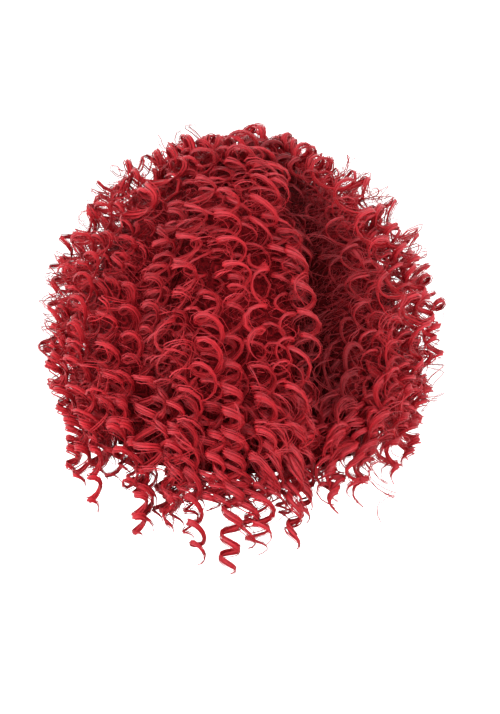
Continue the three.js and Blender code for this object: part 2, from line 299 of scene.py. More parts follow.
class Strands:
    """Collects closed tubes and turns them into one mesh."""

    def __init__(self):
        self.points, self.quads, self.caps = [], [], []
        self.strand, self.shade, self.shine, self.tone = [], [], [], []
        self.count = 0

    def tube(self, line, width, thickness, sides, tone):
        """Adds a closed tube along a line of points, which brings its cross directions, painted shade and
        painted highlight.
        """
        path, wide, thin, shade, shine = line
        n = len(path)
        angle = np.arange(sides) * 2 * np.pi / sides
        w = np.cos(angle)[None, :, None] * (width / 2)[:, None, None] * wide[:, None, :]
        t = np.sin(angle)[None, :, None] * (thickness / 2)[:, None, None] * thin[:, None, :]
        ring = path[:, None, :] + w + t
        base = self.count
        index = base + np.arange(n * sides).reshape(n, sides)
        nxt = np.roll(index, -1, axis=1)
        quads = np.stack([index[:-1], nxt[:-1], nxt[1:], index[1:]], axis=-1).reshape(-1, 4)
        run = np.concatenate([[0], np.cumsum(np.linalg.norm(np.diff(path, axis=0), axis=1))])
        u = np.repeat(run[:, None], sides, axis=1)
        v = np.repeat(np.arange(sides)[None, :] / sides, n, axis=0)
        over = v + 1 / sides
        corners = [(u[:-1], v[:-1]), (u[:-1], over[:-1]), (u[1:], over[1:]), (u[1:], v[1:])]
        uv = np.stack([np.stack(c, axis=-1) for c in corners], axis=-2).reshape(-1, 2)
        self.points.append(ring.reshape(-1, 3))
        self.quads.append(quads)
        self.strand.append((uv, run[-1], tone))
        self.caps.append((index[0][::-1].copy(), index[-1].copy()))
        self.shade.append(np.repeat(shade, sides))
        self.shine.append(np.repeat(shine, sides))
        self.tone.append(np.full(n * sides, tone))
        self.count += n * sides

    def build(self, name, node):
        """One joined mesh, with a map along each strand and one that lays all strands out side by side."""
        quads = np.concatenate(self.quads)
        ends = [e for pair in self.caps for e in pair]
        loops = np.concatenate([quads.ravel(), *ends])
        sizes = np.concatenate([np.full(len(quads), 4), [len(e) for e in ends]]).astype(np.int32)
        starts = np.concatenate([[0], np.cumsum(sizes)[:-1]]).astype(np.int32)
        mesh = bpy.data.meshes.new(name)
        points = np.concatenate(self.points) * MM
        mesh.vertices.add(len(points))
        mesh.vertices.foreach_set("co", points.astype(np.float32).ravel())
        mesh.loops.add(len(loops))
        mesh.loops.foreach_set("vertex_index", loops.astype(np.int32))
        mesh.polygons.add(len(sizes))
        mesh.polygons.foreach_set("loop_start", starts)
        mesh.polygons.foreach_set("loop_total", sizes)
        mesh.update(calc_edges=True)
        mesh.polygons.foreach_set("use_smooth", np.ones(len(sizes), bool))
        along, laid = self.maps(len(loops))
        for map_name, values in (("strand", along), ("OFBake", laid)):
            layer = mesh.uv_layers.new(name=map_name)
            layer.uv.foreach_set("vector", values.astype(np.float32).ravel())
        # Per point: painted shade, painted highlight and a random tone
        for attribute, values in (("shade", self.shade), ("shine", self.shine), ("tone", self.tone)):
            layer = mesh.attributes.new(attribute, "FLOAT", "POINT")
            layer.data.foreach_set("value", np.concatenate(values).astype(np.float32))
        mesh.validate()
        return place(name, mesh, node)

    def maps(self, loops):
        """The two maps: one in metres along each strand, and one sheet with the strands in rows."""
        gap = 1.5
        girth = 6.0
        end_radius = 0.3
        tone_steps = 4096
        spare = 1.04
        total = sum(length + gap for _, length, _ in self.strand)
        side = math.sqrt(total * (girth + gap)) * spare
        along, laid = np.zeros((loops, 2)), np.zeros((loops, 2))
        at, x, y = 0, 0.0, 0.0
        spots = []
        for uv, length, tone in self.strand:
            if x + length > side:
                x, y = 0.0, y + girth + gap
            n = len(uv)
            along[at : at + n, 0] = uv[:, 0] * MM
            along[at : at + n, 1] = uv[:, 1] + math.floor(tone * tone_steps)
            laid[at : at + n, 0] = (x + uv[:, 0]) / side
            laid[at : at + n, 1] = (y + uv[:, 1] * girth) / side
            at += n
            spots.append((x / side, y / side))
            x += length + gap
        for (x, y), ends in zip(spots, self.caps):
            for end in ends:
                k = len(end)
                round_end = np.arange(k) * 2 * np.pi / k
                laid[at : at + k, 0] = x + end_radius / side * np.cos(round_end)
                laid[at : at + k, 1] = y + end_radius / side * (1 + np.sin(round_end))
                at += k
        laid = np.maximum(0.0, laid)
        laid /= max(1.0, laid.max() * 1.0005)
        return along, laid


def place(name, mesh, node):
    """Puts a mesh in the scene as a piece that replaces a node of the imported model."""
    piece = bpy.data.objects.new(name, mesh)
    bpy.context.scene.collection.objects.link(piece)
    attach(piece, "root")
    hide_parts(node)
    return piece


def unit(v):
    return v / np.maximum(1e-9, np.linalg.norm(v, axis=-1, keepdims=True))


def wander(n, waves, size):
    """A slow random curve over n steps."""
    t = np.linspace(0, 1, n)
    out = np.zeros(n)
    for k in range(1, waves + 1):
        out += rng.normal() / k * np.sin(np.pi * k * t + rng.uniform(0, 2 * np.pi))
    return out * size


def furrow_shade(azimuth, z):
    """How much painted shade darkens the hair in the two furrows at the back."""
    out = 0.0 * z
    for a, spread, dark, low, end in SHADE:
        apart = (azimuth - a + 180) % 360 - 180
        out = out + dark * np.exp(-((apart / spread) ** 2)) * smooth(-z, -end, -low)
    return out


# A lock's usual shape. Over the share rise of its length it comes up from root to out, which are depths.
# Flare lifts its lower part, and lean carries its tip sideways.
USUAL_LOCK = {
    "flare": 0.0,
    "lean": 0.0,
    "rise": 0.75,
    "scale": 1.0,
    "slim": 1.0,
    "tight": 1.0,
    "flat": None,
    "loose": 1.0,
    "rope": 1.0,
    "core": True,
    "strands": 6,
    "wisps": 1,
    "part": "_locks",
    "steps": STEPS_PER_TURN,
}


class Coil:
    """The corkscrew that a lock's strands follow: a helix that is tilted, and flattened at the back."""

    def __init__(self, azimuth, start, length, shape):
        scale, rope = shape["scale"], shape["rope"]
        self.pitch = COIL_LENGTH * rng.uniform(*LENGTH_SPREAD) * (0.5 + 0.5 * scale) * shape["tight"]
        self.radius = COIL_RADIUS * rng.uniform(*RADIUS_SPREAD) * scale * shape["slim"]
        facing = max(0.15, math.cos(math.radians(min(90.0, abs(azimuth)))))
        usual_flat = FLATTENED + (1 - FLATTENED) * (1 - facing)
        self.flat = shape["flat"] or usual_flat + rng.uniform(*FLAT_SPREAD)
        self.thick = rng.uniform(THINNEST, FULLEST if rope < HEAVY_ROPE else HEAVY_FULLEST) * rope
        self.length = length
        self.n = max(8, int(length / self.pitch * shape["steps"]))
        self.s = np.linspace(0, length, self.n)
        self.lay(azimuth, start, shape)
        self.tilt(azimuth, facing)
        self.wind(shape["loose"])

    def lay(self, azimuth, start, shape):
        """Lays the lock's middle line down the hair from its start."""
        s, length = self.s, self.length
        out, root = shape["out"], shape["root"]
        depth = root + (out - root) * smooth(s, 0, shape["rise"] * length)
        depth = depth - shape["flare"] * smooth(s, 0.4 * length, length)
        depth = depth + wander(self.n, 3, 1.8 * shape["loose"])
        reach = np.maximum(40, look_up(grid_r, azimuth, start + s))
        depth = depth + settled(azimuth, start + s)
        self.depth = np.maximum(depth, self.flat * self.radius - LOCK_PROUD)
        aside = shape["lean"] * s / length + wander(self.n, 3, 4.0 * shape["loose"])
        turn = azimuth + np.degrees(aside / reach)
        self.centre, outward = hair_surface(turn, start + s, self.depth)
        self.along = unit(np.gradient(self.centre, axis=0))
        self.normal = unit(outward - np.sum(outward * self.along, axis=1, keepdims=True) * self.along)
        self.painted_furrow_shade = furrow_shade(turn, self.centre[:, 2])

    def tilt(self, azimuth, facing):
        """Sets the loops' two axes and the way that the coil turns, which is mirrored on the right."""
        side = np.cross(self.along, self.normal)
        near_tips = smooth(-self.centre[:, 2], TIPS_BEGIN, TIPS_END)
        lift = LOOP_TILT + (LOOP_TILT_AT_TIPS - LOOP_TILT) * near_tips
        lift = np.radians(lift * facing + rng.normal() * LOOP_SPREAD)
        lift = np.maximum(lift - np.arcsin(np.clip(self.normal[:, 2], -1, 1)), 0)[:, None]
        self.raised = self.normal * np.cos(lift) * self.flat - self.along * np.sin(lift)
        usual = 1 if 180 <= azimuth % 360 < GROUPS["hair_right"][1] else -1
        self.hand = usual if rng.random() < USUAL_HAND_SHARE or facing < 0.9 else -usual
        swing = SWING * math.sin(math.radians(azimuth))
        roll = math.radians(-self.hand * LOOP_ROLL + rng.normal() * LOOP_SPREAD - swing)
        self.sideways = side * math.cos(roll) - self.along * math.sin(roll)

    def wind(self, loose):
        """Sets the angle and the radius along the coil, which winds tighter and narrower to its tip."""
        s, length, pitch = self.s, self.length, self.pitch
        turns = s / pitch + 0.3 * smooth(s, length - 1.4 * pitch, length)
        self.angle = self.hand * 2 * np.pi * turns + wander(self.n, 4, 0.45 * loose)
        self.angle += math.radians(TIP_PHASE + rng.normal() * TIP_SPREAD) - self.angle[-1]
        ease = (0.45 + 0.55 * smooth(s, 0, pitch)) * (0.8 + 0.2 * smooth(length - s, 0, pitch))
        self.r = self.radius * ease * (1 + wander(self.n, 4, 0.08 * loose))

    def line(self, shift, grow, slide, lift):
        """A line beside the coil, with its cross directions, painted shade and painted highlight."""
        a = self.angle + shift
        radial = np.cos(a)[:, None] * self.raised + np.sin(a)[:, None] * self.sideways
        path = self.centre + radial * (self.r * grow + lift)[:, None]
        forward = unit(np.gradient(path, axis=0))
        across = unit(np.cross(forward, unit(radial)))
        path = path + across * slide[:, None]
        # Painted shade: darker the further in the line lies, so the back halves of the loops are darker, and
        # darker in the furrows
        below = self.depth - 1.7 * self.flat * self.r * np.cos(a)
        shade = np.clip((below - DARK_BEGIN) / DARK_RANGE, 0, 1)
        shade = np.clip(DEPTH_SHADE_SHARE * shade + self.painted_furrow_shade, 0, 1)
        # Painted highlight: lighter on the front of each loop
        shine = np.maximum(0, np.cos(a - math.radians(PAINTED_HIGHLIGHT_PHASE))) ** 2
        return path, across, np.cross(across, forward), shade, shine


def add_strand(mesh, coil, body, tone, place_in_rope):
    """One strand of a lock's rope. It strays from its place round the rope's middle."""
    n = coil.n
    round_rope = place_in_rope + wander(n, 3, 0.9)
    away = rng.uniform(0.35, 1.0) * (1 + wander(n, 3, 0.25))
    slide = np.cos(round_rope) * ROPE_WIDTH / 2 * away * (0.4 + 0.6 * body)
    lift = np.sin(round_rope) * ROPE_THICKNESS / 2 * away * (0.4 + 0.6 * body)
    line = coil.line(wander(n, 4, 0.09), 1 + wander(n, 3, 0.04), slide, lift)
    cut = n - int(rng.integers(0, 5))
    width = STRAND_WIDTH * rng.uniform(0.7, 1.3) * np.minimum(body, STRAND_FULLEST)[:cut]
    mesh.tube([values[:cut] for values in line], width, width * 0.8, 3, tone * 0.5 + 0.5 * rng.random())


def add_wisp(mesh, coil):
    """A single hair that strays from its lock."""
    n = coil.n
    shift = rng.normal() * 0.4 + wander(n, 4, 0.3)
    grow = 0.98 + wander(n, 4, 0.2)
    slide = wander(n, 3, 3.0)
    line = coil.line(shift, grow, slide, rng.normal())
    first = int(rng.integers(0, max(1, n // 3)))
    last = n - int(rng.integers(0, max(1, n // 4)))
    width = np.full(last - first, WISP_WIDTH * rng.uniform(0.8, 1.5))
    mesh.tube([values[first:last] for values in line], width, width, 3, rng.random())


def lock(piece, azimuth, start, length, **given):
    """One corkscrew lock: a core, the strands of its rope, and single hairs."""
    shape = {**USUAL_LOCK, **given}
    coil = Coil(azimuth, start, length, shape)
    tone = rng.random()
    body = (smooth(length - coil.s, -2, 0.8 * coil.pitch) * 0.75 + 0.25) * coil.thick
    mesh = pieces[piece + shape["part"]]
    if shape["core"]:
        full = np.minimum(body, CORE_FULLEST)
        mesh.tube(coil.line(0, 1, 0 * coil.s, 0), CORE_WIDTH * full, CORE_THICKNESS * full, 4, tone * 0.5)
    for j in range(shape["strands"]):
        add_strand(mesh, coil, body, tone, 2 * np.pi * (j + 0.5) / shape["strands"])
    for _ in range(shape["wisps"]):
        add_wisp(pieces[piece + "_wisps"], coil)


def over_face(azimuth, run):
    """Whether a point of the surface lies over the opening for the face."""
    point, _ = hair_surface(azimuth, run, 12.0)
    x, y, z = point.reshape(-1, 3).T
    spring = -HAIRLINE_DROP - FACE_HALF_WIDTH
    arch = np.where(z < spring, np.abs(x) < FACE_HALF_WIDTH, np.hypot(x, z - spring) < FACE_HALF_WIDTH)
    return arch & (y < 0)


def group_of(azimuth):
    """The group of hair that an azimuth belongs to."""
    for name, (low, high) in GROUPS.items():
        if (azimuth - low) % 360 < high - low:
            return name
    return "hair_back"


PARTS = ("_locks", "_inner", "_wisps")
pieces = {name + part: Strands() for name in [*GROUPS, "hair_crown"] for part in PARTS}


def clear_length(azimuth, start, length):
    """How much of a lock's length may hang before it would cover the face."""
    step, overlap = 4.0, 10
    run = np.arange(start, start + length, step)
    blocked = over_face(np.full(len(run), azimuth), run)
    return length if not blocked.any() else min(length, step * int(np.argmax(blocked)) + overlap)


class Layer:
    """Keeps the locks of one layer apart."""

    def __init__(self, spacing):
        self.spacing = spacing
        self.taken = np.zeros((0, 3))

    def route(self, azimuth, start, length):
        run = np.arange(start + ROUTE_BEGIN, start + length, 7.0)
        return hair_surface(azimuth, run, 0.0)[0]

    def crowding(self, azimuth, start, length):
        if not len(self.taken):
            return 0.0
        route = self.route(azimuth, start, length)
        apart = np.linalg.norm(route[:, None, :] - self.taken[None, :, :], axis=2).min(axis=1)
        return float(np.mean(apart < self.spacing))

    def take(self, azimuth, start, length):
        self.taken = np.vstack([self.taken, self.route(azimuth, start, length)])


def at_side(azimuth):
    """Whether an azimuth lies at one of the full sides."""
    return SIDE_BEGIN < abs(azimuth) < SIDE_END


def room_to_flare(azimuth, low, high):
    """How far a lock may stand proud: less in front, where the hair lies closer."""
    front = abs((azimuth + 180) % 360 - 180) > FRONT_BEGIN
    return rng.uniform(low, high) * (FRONT_CLOSER if front else 1) + (SIDE_FLARE if at_side(azimuth) else 0)


def near_crown(azimuth, run):
    """Whether a point of the surface lies so near the top that its lock belongs to the crown."""
    return float(look_up(grid_r, azimuth, run)) < CROWN_GROUP_RADIUS * 0.8


# How far a lock's lower part may rise where it stands proud and where it doesn't, and the shortest locks
PROUD = (2, 15)
FLUSH = (0, 1)
SHORTEST_LOCK = 44
SHORTEST_STRAY = 36
# How far a lock's tip may hang below the mass, and how many shorter locks grow round each hanging one
LONGEST_HANG = 48
BETWEEN = 4
BEHIND = 3


def grow_layer(layer, tries, shortest, longest, crowded, shape):
    """Tries places at random and grows a lock wherever its route is still free."""
    for _ in range(tries):
        azimuth = rng.uniform(-180, 180)
        full = length_at(azimuth)
        start = rng.uniform(-60, full - 40)
        start = 3.0 if start < 3 else start
        facing = max(0.0, math.cos(math.radians(azimuth)))
        length = rng.uniform(shortest, longest)
        length = min(length, full - start + rng.uniform(0, LONGEST_HANG) * (0.6 + 0.4 * facing))
        if over_face(azimuth, start + CLEAR_OF_ROOT)[0]:
            continue
        length = clear_length(azimuth, start, length)
        if length < SHORTEST_LOCK or layer.crowding(azimuth, start, length) > crowded:
            continue
        z = float(hair_surface(azimuth, start + 0.4 * length, 0)[0][2])
        if rng.random() < shape["skip"] * float(furrow_shade(azimuth, np.array(z))):
            continue
        layer.take(azimuth, start, length)
        near_top = near_crown(azimuth, start)
        piece = "hair_crown" if near_top and length < 120 else group_of(azimuth)
        straight = GROUPS["hair_back"][0] < azimuth < GROUPS["hair_back"][1]
        lock(
            piece,
            azimuth,
            start,
            length,
            out=rng.uniform(*shape["out"]),
            root=24 if near_top else shape["out"][1] + 18,
            flare=room_to_flare(azimuth, *(PROUD if rng.random() < shape["flare"] else FLUSH)),
            lean=rng.uniform(-12, 12) if straight else rng.uniform(-24, 24),
            rope=1.15,
            scale=rng.uniform(1.0, 1.3) if near_top else rng.uniform(0.8, 1.12),
            strands=shape["strands"],
            wisps=0 if z > -20 else 1,
            part=shape["part"],
            loose=0.9 if straight else 1.25,
            rise=0.3,
            steps=shape["steps"],
        )


def grow_hanging(layer):
    """Locks that hang free below the mass, and shorter ones between and behind them."""
    for azimuth, tip in HANGING:
        full = length_at(azimuth)
        free = (tip - by_azimuth(MASS_END, azimuth)) * HAIR_DROP - 3
        start = full - rng.uniform(70, 130)
        layer.take(azimuth, start, full - start)
        lock(
            group_of(azimuth),
            azimuth,
            start,
            full + free - start,
            out=4 if at_side(azimuth) else 13,
            root=30,
            flare=8 if at_side(azimuth) else 0,
            scale=0.98,
            strands=12,
            rope=1.9,
            slim=0.72,
            loose=0.7,
            rise=0.3,
            tight=0.86,
            steps=14,
        )
        for k in range(BETWEEN + BEHIND):
            shorter = free * rng.uniform(0.2, 0.85)
            first = full - rng.uniform(55, 90)
            lock(
                group_of(azimuth),
                azimuth + rng.uniform(-8, 8),
                first,
                full + shorter - first,
                out=rng.uniform(10, 30) if k < BETWEEN else rng.uniform(38, 64),
                root=44 if k < BETWEEN else 66,
                lean=rng.uniform(-12, 12),
                scale=rng.uniform(0.85, 1.1),
                strands=9 if k < BETWEEN else 3,
                rope=1.45,
                slim=0.84,
                steps=11,
                tight=0.88,
            )


def grow_face_frame():
    """Locks down both edges of the opening for the face, one behind the other."""
    for side in (-1, 1):
        for depths, aside in (((12, 24, 36, 48), 4), ((12, 24), 13)):
            for depth in depths:
                reach = HAIR_FRONT - depth
                azimuth = 180 - side * math.degrees(math.asin((FACE_HALF_WIDTH + aside) / reach))
                start = rng.uniform(120, 150)
                lock(
                    "hair_front",
                    azimuth,
                    start,
                    length_at(azimuth) + rng.uniform(0, 20) - start,
                    out=depth,
                    root=depth + 8,
                    scale=rng.uniform(0.8, 1.0),
                    strands=5,
                    rope=1.2,
                    rise=0.3,
                    steps=11,
                )
    fringe, apart = 14, 3.6
    for k in range(fringe):
        azimuth = 180 + (k - (fringe - 1) / 2) * apart
        lock(
            "hair_front",
            azimuth,
            rng.uniform(58, 74),
            rng.uniform(56, 74),
            out=rng.uniform(14, 34),
            root=40,
            scale=rng.uniform(0.75, 0.95),
            strands=6,
            wisps=0,
            rope=1.1,
            rise=0.3,
            steps=11,
        )


def grow_strays(count):
    """Thin single locks that stand proud of the rest."""
    for _ in range(count):
        azimuth = rng.uniform(-180, 180)
        start = rng.uniform(5, length_at(azimuth) - 40)
        length = clear_length(azimuth, start, rng.uniform(50, 110))
        if length < SHORTEST_STRAY or over_face(azimuth, start + CLEAR_OF_ROOT)[0]:
            continue
        lock(
            "hair_crown" if near_crown(azimuth, start) else group_of(azimuth),
            azimuth,
            start,
            length,
            out=rng.uniform(2, 8),
            root=22,
            flare=room_to_flare(azimuth, 0, 10),
            lean=rng.uniform(-30, 30),
            scale=rng.uniform(0.85, 1.15),
            core=False,
            strands=2,
            loose=1.6,
        )


def grow_crown():
    """The large loose loops that stand on the very top."""
    for azimuth in (-150, -128, -75, -52, -34, -18, -2, 14, 30, 48, 72, 128, 150, 176):
        lock(
            "hair_crown",
            azimuth + rng.uniform(-10, 10),
            rng.uniform(3, 26),
            rng.uniform(60, 90),
            out=rng.uniform(2, 7),
            root=16,
            scale=rng.uniform(1.15, 1.45),
            strands=8,
            wisps=0,
            rope=1.25,
            flat=rng.uniform(0.75, 1.0),
            rise=0.4,
            steps=18,
        )
    for azimuth in (-62, -38, -14, 8, 30, 56):
        lock(
            "hair_crown",
            azimuth + rng.uniform(-6, 6),
            rng.uniform(34, 50),
            rng.uniform(60, 85),
            out=rng.uniform(3, 9),
            root=16,
            scale=rng.uniform(1.0, 1.25),
            strands=8,
            wisps=0,
            rope=1.2,
            rise=0.3,
            steps=14,
        )


def frizz(count, low, high, proud, middle=0, spread=180, first=5, last=400):
    """Loose single hairs over and between the locks, at depths from low to high under the surface."""
    for _ in range(count):
        azimuth = middle + rng.uniform(-spread, spread)
        start = rng.uniform(first, min(last, length_at(azimuth) - 20))
        if over_face(azimuth, start + 15)[0]:
            continue
        n = int(rng.integers(9, 16))
        s = np.linspace(0, rng.uniform(18, 48), n)
        heading = rng.uniform(-1.2, 1.2)
        reach = float(look_up(grid_r, azimuth, start))
        if reach < CROWN_GROUP_RADIUS * 1.6:
            continue
        turns = rng.uniform(0.9, 2.6)
        phase = rng.uniform(0, 2 * np.pi)
        size = rng.uniform(3, 9)
        bend = phase + rng.choice([-1, 1]) * 2 * np.pi * turns * s / s[-1]
        turn = azimuth + np.degrees((s * math.sin(heading) + size * np.sin(bend)) / reach)
        depth = rng.uniform(low, high) - proud * smooth(s, 0, s[-1]) * rng.random()
        depth = np.maximum(depth + size * 0.7 * np.cos(bend), -FRIZZ_PROUD)
        path, outward = hair_surface(turn, np.maximum(1, start + s * math.cos(heading)), depth)
        forward = unit(np.gradient(path, axis=0))
        across = unit(np.cross(forward, outward))
        width = np.full(n, WISP_WIDTH * rng.uniform(0.5, 0.85))
        # Painted shade on single hairs that lie far in or in a furrow, and an even painted highlight
        shade = np.clip((depth - DARK_BEGIN) / FRIZZ_DARK_RANGE, 0, 1)
        shade = np.clip(FRIZZ_SHADE_SHARE * shade + furrow_shade(turn, path[:, 2]), 0, 1)
        line = (path, across, np.cross(across, forward), shade, np.full(n, 0.3))
        pieces[group_of(azimuth) + "_wisps"].tube(line, width, width, 3, rng.random())


def cap_drop(azimuth, radius):
    """How far below the crown the head is this wide."""
    reach = oval(azimuth, HEAD_HALF_WIDTH, HEAD_BACK, HEAD_FRONT, 2)
    return CROWN_HEIGHT * (1 - np.sqrt(1 - (radius / reach) ** 2))


def under_mass(name, node, low, high, top_run, cut_face):
    """The closed mass of hair between the cap and the outer locks."""
    seam = 0.2
    columns = max(12, int((high - low) / 2.5))
    rows = 56
    az = np.linspace(low + seam, high - seam, columns)
    points_out, points_in = [], []
    for a in az:
        full = length_at(a)
        run = np.linspace(top_run, full + 4, rows)
        depth = UNDER_DEPTH - 2 * smooth(look_up(grid_z, a, run), -150, -70) + settled(a, run)
        waves = 3.0 * np.sin(run / 3.9 + a * 0.9) + 2.0 * np.sin(run / 2.1 - a * 2.3)
        outer, _ = hair_surface(np.full(rows, a), run, depth + waves)
        first = float(cap_drop(a, CROWN_GROUP_RADIUS))
        drop = first + (-outer[-1, 2] - first) * np.linspace(0, 1, rows)
        inner = head_surface(np.full(rows, a), drop, CAP_WALL + HAIR_OVER_CAP)
        if cut_face:
            stop = over_face(np.full(rows, a), run)
            if stop.any():
                k = max(2, int(np.argmax(stop)))
                outer = outer[np.minimum(np.arange(rows) * k // rows, k)]
                last = HAIRLINE_DROP - first
                drop = first + last * np.linspace(0, 1, rows)
                inner = head_surface(np.full(rows, a), drop, CAP_WALL + HAIR_OVER_CAP)
        gap = np.linalg.norm(outer[:, :2], axis=1) - np.linalg.norm(inner[:, :2], axis=1)
        short = np.maximum(0, THINNEST_MASS - gap)[:, None]
        outer = outer + short * on_azimuth(np.full(rows, a), 1.0, 0.0)
        points_out.append(outer)
        points_in.append(inner)
    return shell(name, node, np.array(points_out), np.array(points_in))


def shell(name, node, outer, inner):
    """A closed mesh between two grids of points."""
    m, n = outer.shape[:2]
    points = np.concatenate([outer.reshape(-1, 3), inner.reshape(-1, 3)]) * MM
    o = np.arange(m * n).reshape(m, n)
    i = o + m * n

    def faces(g, flip):
        q = np.stack([g[:-1, :-1], g[1:, :-1], g[1:, 1:], g[:-1, 1:]], axis=-1).reshape(-1, 4)
        return q[:, ::-1] if flip else q

    def wall(a, b, flip):
        q = np.stack([a[:-1], a[1:], b[1:], b[:-1]], axis=-1)
        return q[:, ::-1] if flip else q

    quads = np.concatenate(
        [
            faces(o, True),
            faces(i, False),
            wall(o[:, 0], i[:, 0], True),
            wall(o[:, -1], i[:, -1], False),
            wall(o[0], i[0], False),
            wall(o[-1], i[-1], True),
        ]
    )
    mesh = bpy.data.meshes.new(name)
    mesh.from_pydata(points.tolist(), [], quads.tolist())
    mesh.polygons.foreach_set("use_smooth", np.ones(len(quads), bool))
    mesh.update()
    x, y, z = points.T / MM
    # Painted shade in the furrows
    layer = mesh.attributes.new("shade", "FLOAT", "POINT")
    layer.data.foreach_set("value", furrow_shade(np.degrees(np.arctan2(x, y)), z).astype(np.float32))
    return place(name, mesh, node)


def crown_mass():
    """The closed mass of hair under the crown's locks."""
    turns, rows = 48, 14
    lifted = 0.5
    az = np.linspace(0, 360, turns, endpoint=False)
    outer, inner = [], []
    for k in range(1, rows + 1):
        r = (CROWN_GROUP_RADIUS - 1) * k / rows
        ring = []
        for a in az:
            run = np.interp(r, look_up(grid_r, a, runs[:40]), runs[:40])
            depth = CROWN_UNDER_DEPTH + settled(a, run) + 1.5 * math.sin(k * 2.1 + a * 0.2)
            p, _ = hair_surface(a, run, depth)
            p[:2] = on_azimuth(a, r, 0)[:2]
            ring.append(p)
        outer.append(ring)
        low_ring = on_azimuth(az, r, 0)
        low_ring[:, 2] = head_surface(az, cap_drop(az, r), CAP_WALL + HAIR_OVER_CAP)[:, 2] + lifted
        inner.append(low_ring)
    top = np.array([[0, 0, HAIR_RISE - CROWN_UNDER_DEPTH]])
    bottom = np.array([[0, 0, CAP_WALL + HAIR_OVER_CAP + lifted]])
    points = np.concatenate([np.array(outer).reshape(-1, 3), np.array(inner).reshape(-1, 3), top, bottom])
    o = np.arange(rows * turns).reshape(rows, turns)
    i = o + rows * turns
    tip, foot = 2 * rows * turns, 2 * rows * turns + 1
    quads = []
    for k in range(turns):
        j = (k + 1) % turns
        quads.append((tip, o[0, j], o[0, k]))
        quads.append((foot, i[0, k], i[0, j]))
        for row in range(rows - 1):
            quads.append((o[row, k], o[row, j], o[row + 1, j], o[row + 1, k]))
            quads.append((i[row, j], i[row, k], i[row + 1, k], i[row + 1, j]))
        quads.append((o[-1, k], o[-1, j], i[-1, j], i[-1, k]))
    mesh = bpy.data.meshes.new("hair_crown_under")
    mesh.from_pydata((points * MM).tolist(), [], [tuple(int(x) for x in q) for q in quads])
    mesh.polygons.foreach_set("use_smooth", np.ones(len(quads), bool))
    mesh.update()
    return place("hair_crown_under", mesh, "hair_crown")


# Materials
def nodes_of(material):
    material.use_nodes = True
    tree = material.node_tree
    return tree, tree.nodes, tree.links, tree.nodes["Principled BSDF"]


def ramp(nodes, stops):
    node = nodes.new("ShaderNodeValToRGB")
    elements = node.color_ramp.elements
    while len(elements) < len(stops):
        elements.new(0.5)
    for element, (position, colour) in zip(elements, stops):
        element.position = position
        element.color = (*colour, 1)
    return node


def fibre_material():
    """Curled synthetic fibre: streaks and fine grooves along each strand, with painted shade where it lies
    far in or in a furrow, and a painted highlight on the front of each loop.
    """
    material = bpy.data.materials.new("hair_fibre")
    tree, nodes, links, shader = nodes_of(material)
    uv = nodes.new("ShaderNodeUVMap")
    uv.uv_map = "strand"
    stretch = nodes.new("ShaderNodeMapping")
    stretch.inputs["Scale"].default_value = (34, 5.0, 1)
    links.new(uv.outputs["UV"], stretch.inputs["Vector"])
    streak = nodes.new("ShaderNodeTexNoise")
    streak.inputs["Scale"].default_value = 1.0
    streak.inputs["Detail"].default_value = 3
    streak.inputs["Roughness"].default_value = 0.65
    links.new(stretch.outputs["Vector"], streak.inputs["Vector"])
    shade, shine, tone = (nodes.new("ShaderNodeAttribute") for _ in range(3))
    shade.attribute_name, shine.attribute_name, tone.attribute_name = "shade", "shine", "tone"
    # The painted highlight added onto the streaks, which lifts the colour up the ramp
    streak_and_highlight = nodes.new("ShaderNodeMath")
    streak_and_highlight.operation = "MULTIPLY_ADD"
    streak_and_highlight.inputs[1].default_value = 0.3
    links.new(shine.outputs["Fac"], streak_and_highlight.inputs[0])
    links.new(streak.outputs["Fac"], streak_and_highlight.inputs[2])
    # Fibre reds from dark to pinker; the pinker top is reached mostly where the painted highlight adds on
    colours = ramp(
        nodes,
        [
            (0.34, (0.4, 0.006, 0.011)),
            (0.56, (0.47, 0.0098, 0.018)),
            (0.76, (0.472, 0.0225, 0.033)),
            (0.98, (0.47, 0.062, 0.076)),
        ],
    )
    links.new(streak_and_highlight.outputs["Value"], colours.inputs["Fac"])
    # Painted shade: darker with depth and in the furrows
    deep = nodes.new("ShaderNodeMapRange")
    deep.inputs["To Min"].default_value = 1.0
    deep.inputs["To Max"].default_value = 0.42
    links.new(shade.outputs["Fac"], deep.inputs["Value"])
    lively = nodes.new("ShaderNodeMapRange")
    lively.inputs["To Min"].default_value = 0.82
    lively.inputs["To Max"].default_value = 1.12
    links.new(tone.outputs["Fac"], lively.inputs["Value"])
    both = nodes.new("ShaderNodeMath")
    both.operation = "MULTIPLY"
    links.new(deep.outputs["Result"], both.inputs[0])
    links.new(lively.outputs["Result"], both.inputs[1])
    darker = nodes.new("ShaderNodeVectorMath")
    darker.operation = "SCALE"
    links.new(colours.outputs["Color"], darker.inputs[0])
    links.new(both.outputs["Value"], darker.inputs["Scale"])
    links.new(darker.outputs["Vector"], shader.inputs["Base Color"])
    fine = nodes.new("ShaderNodeMapping")
    fine.inputs["Scale"].default_value = (60, 12, 1)
    links.new(uv.outputs["UV"], fine.inputs["Vector"])
    groove = nodes.new("ShaderNodeTexNoise")
    groove.inputs["Scale"].default_value = 1.0
    groove.inputs["Detail"].default_value = 2
    links.new(fine.outputs["Vector"], groove.inputs["Vector"])
    bump = nodes.new("ShaderNodeBump")
    bump.inputs["Strength"].default_value = 0.8
    bump.inputs["Distance"].default_value = 0.0006
    links.new(groove.outputs["Fac"], bump.inputs["Height"])
    links.new(bump.outputs["Normal"], shader.inputs["Normal"])
    rough = nodes.new("ShaderNodeMapRange")
    rough.inputs["To Min"].default_value = 0.36
    rough.inputs["To Max"].default_value = 0.56
    links.new(groove.outputs["Fac"], rough.inputs["Value"])
    links.new(rough.outputs["Result"], shader.inputs["Roughness"])
    shader.inputs["Specular IOR Level"].default_value = 0.4
    shader.inputs["Specular Tint"].default_value = (1.0, 0.5, 0.53, 1)
    return material


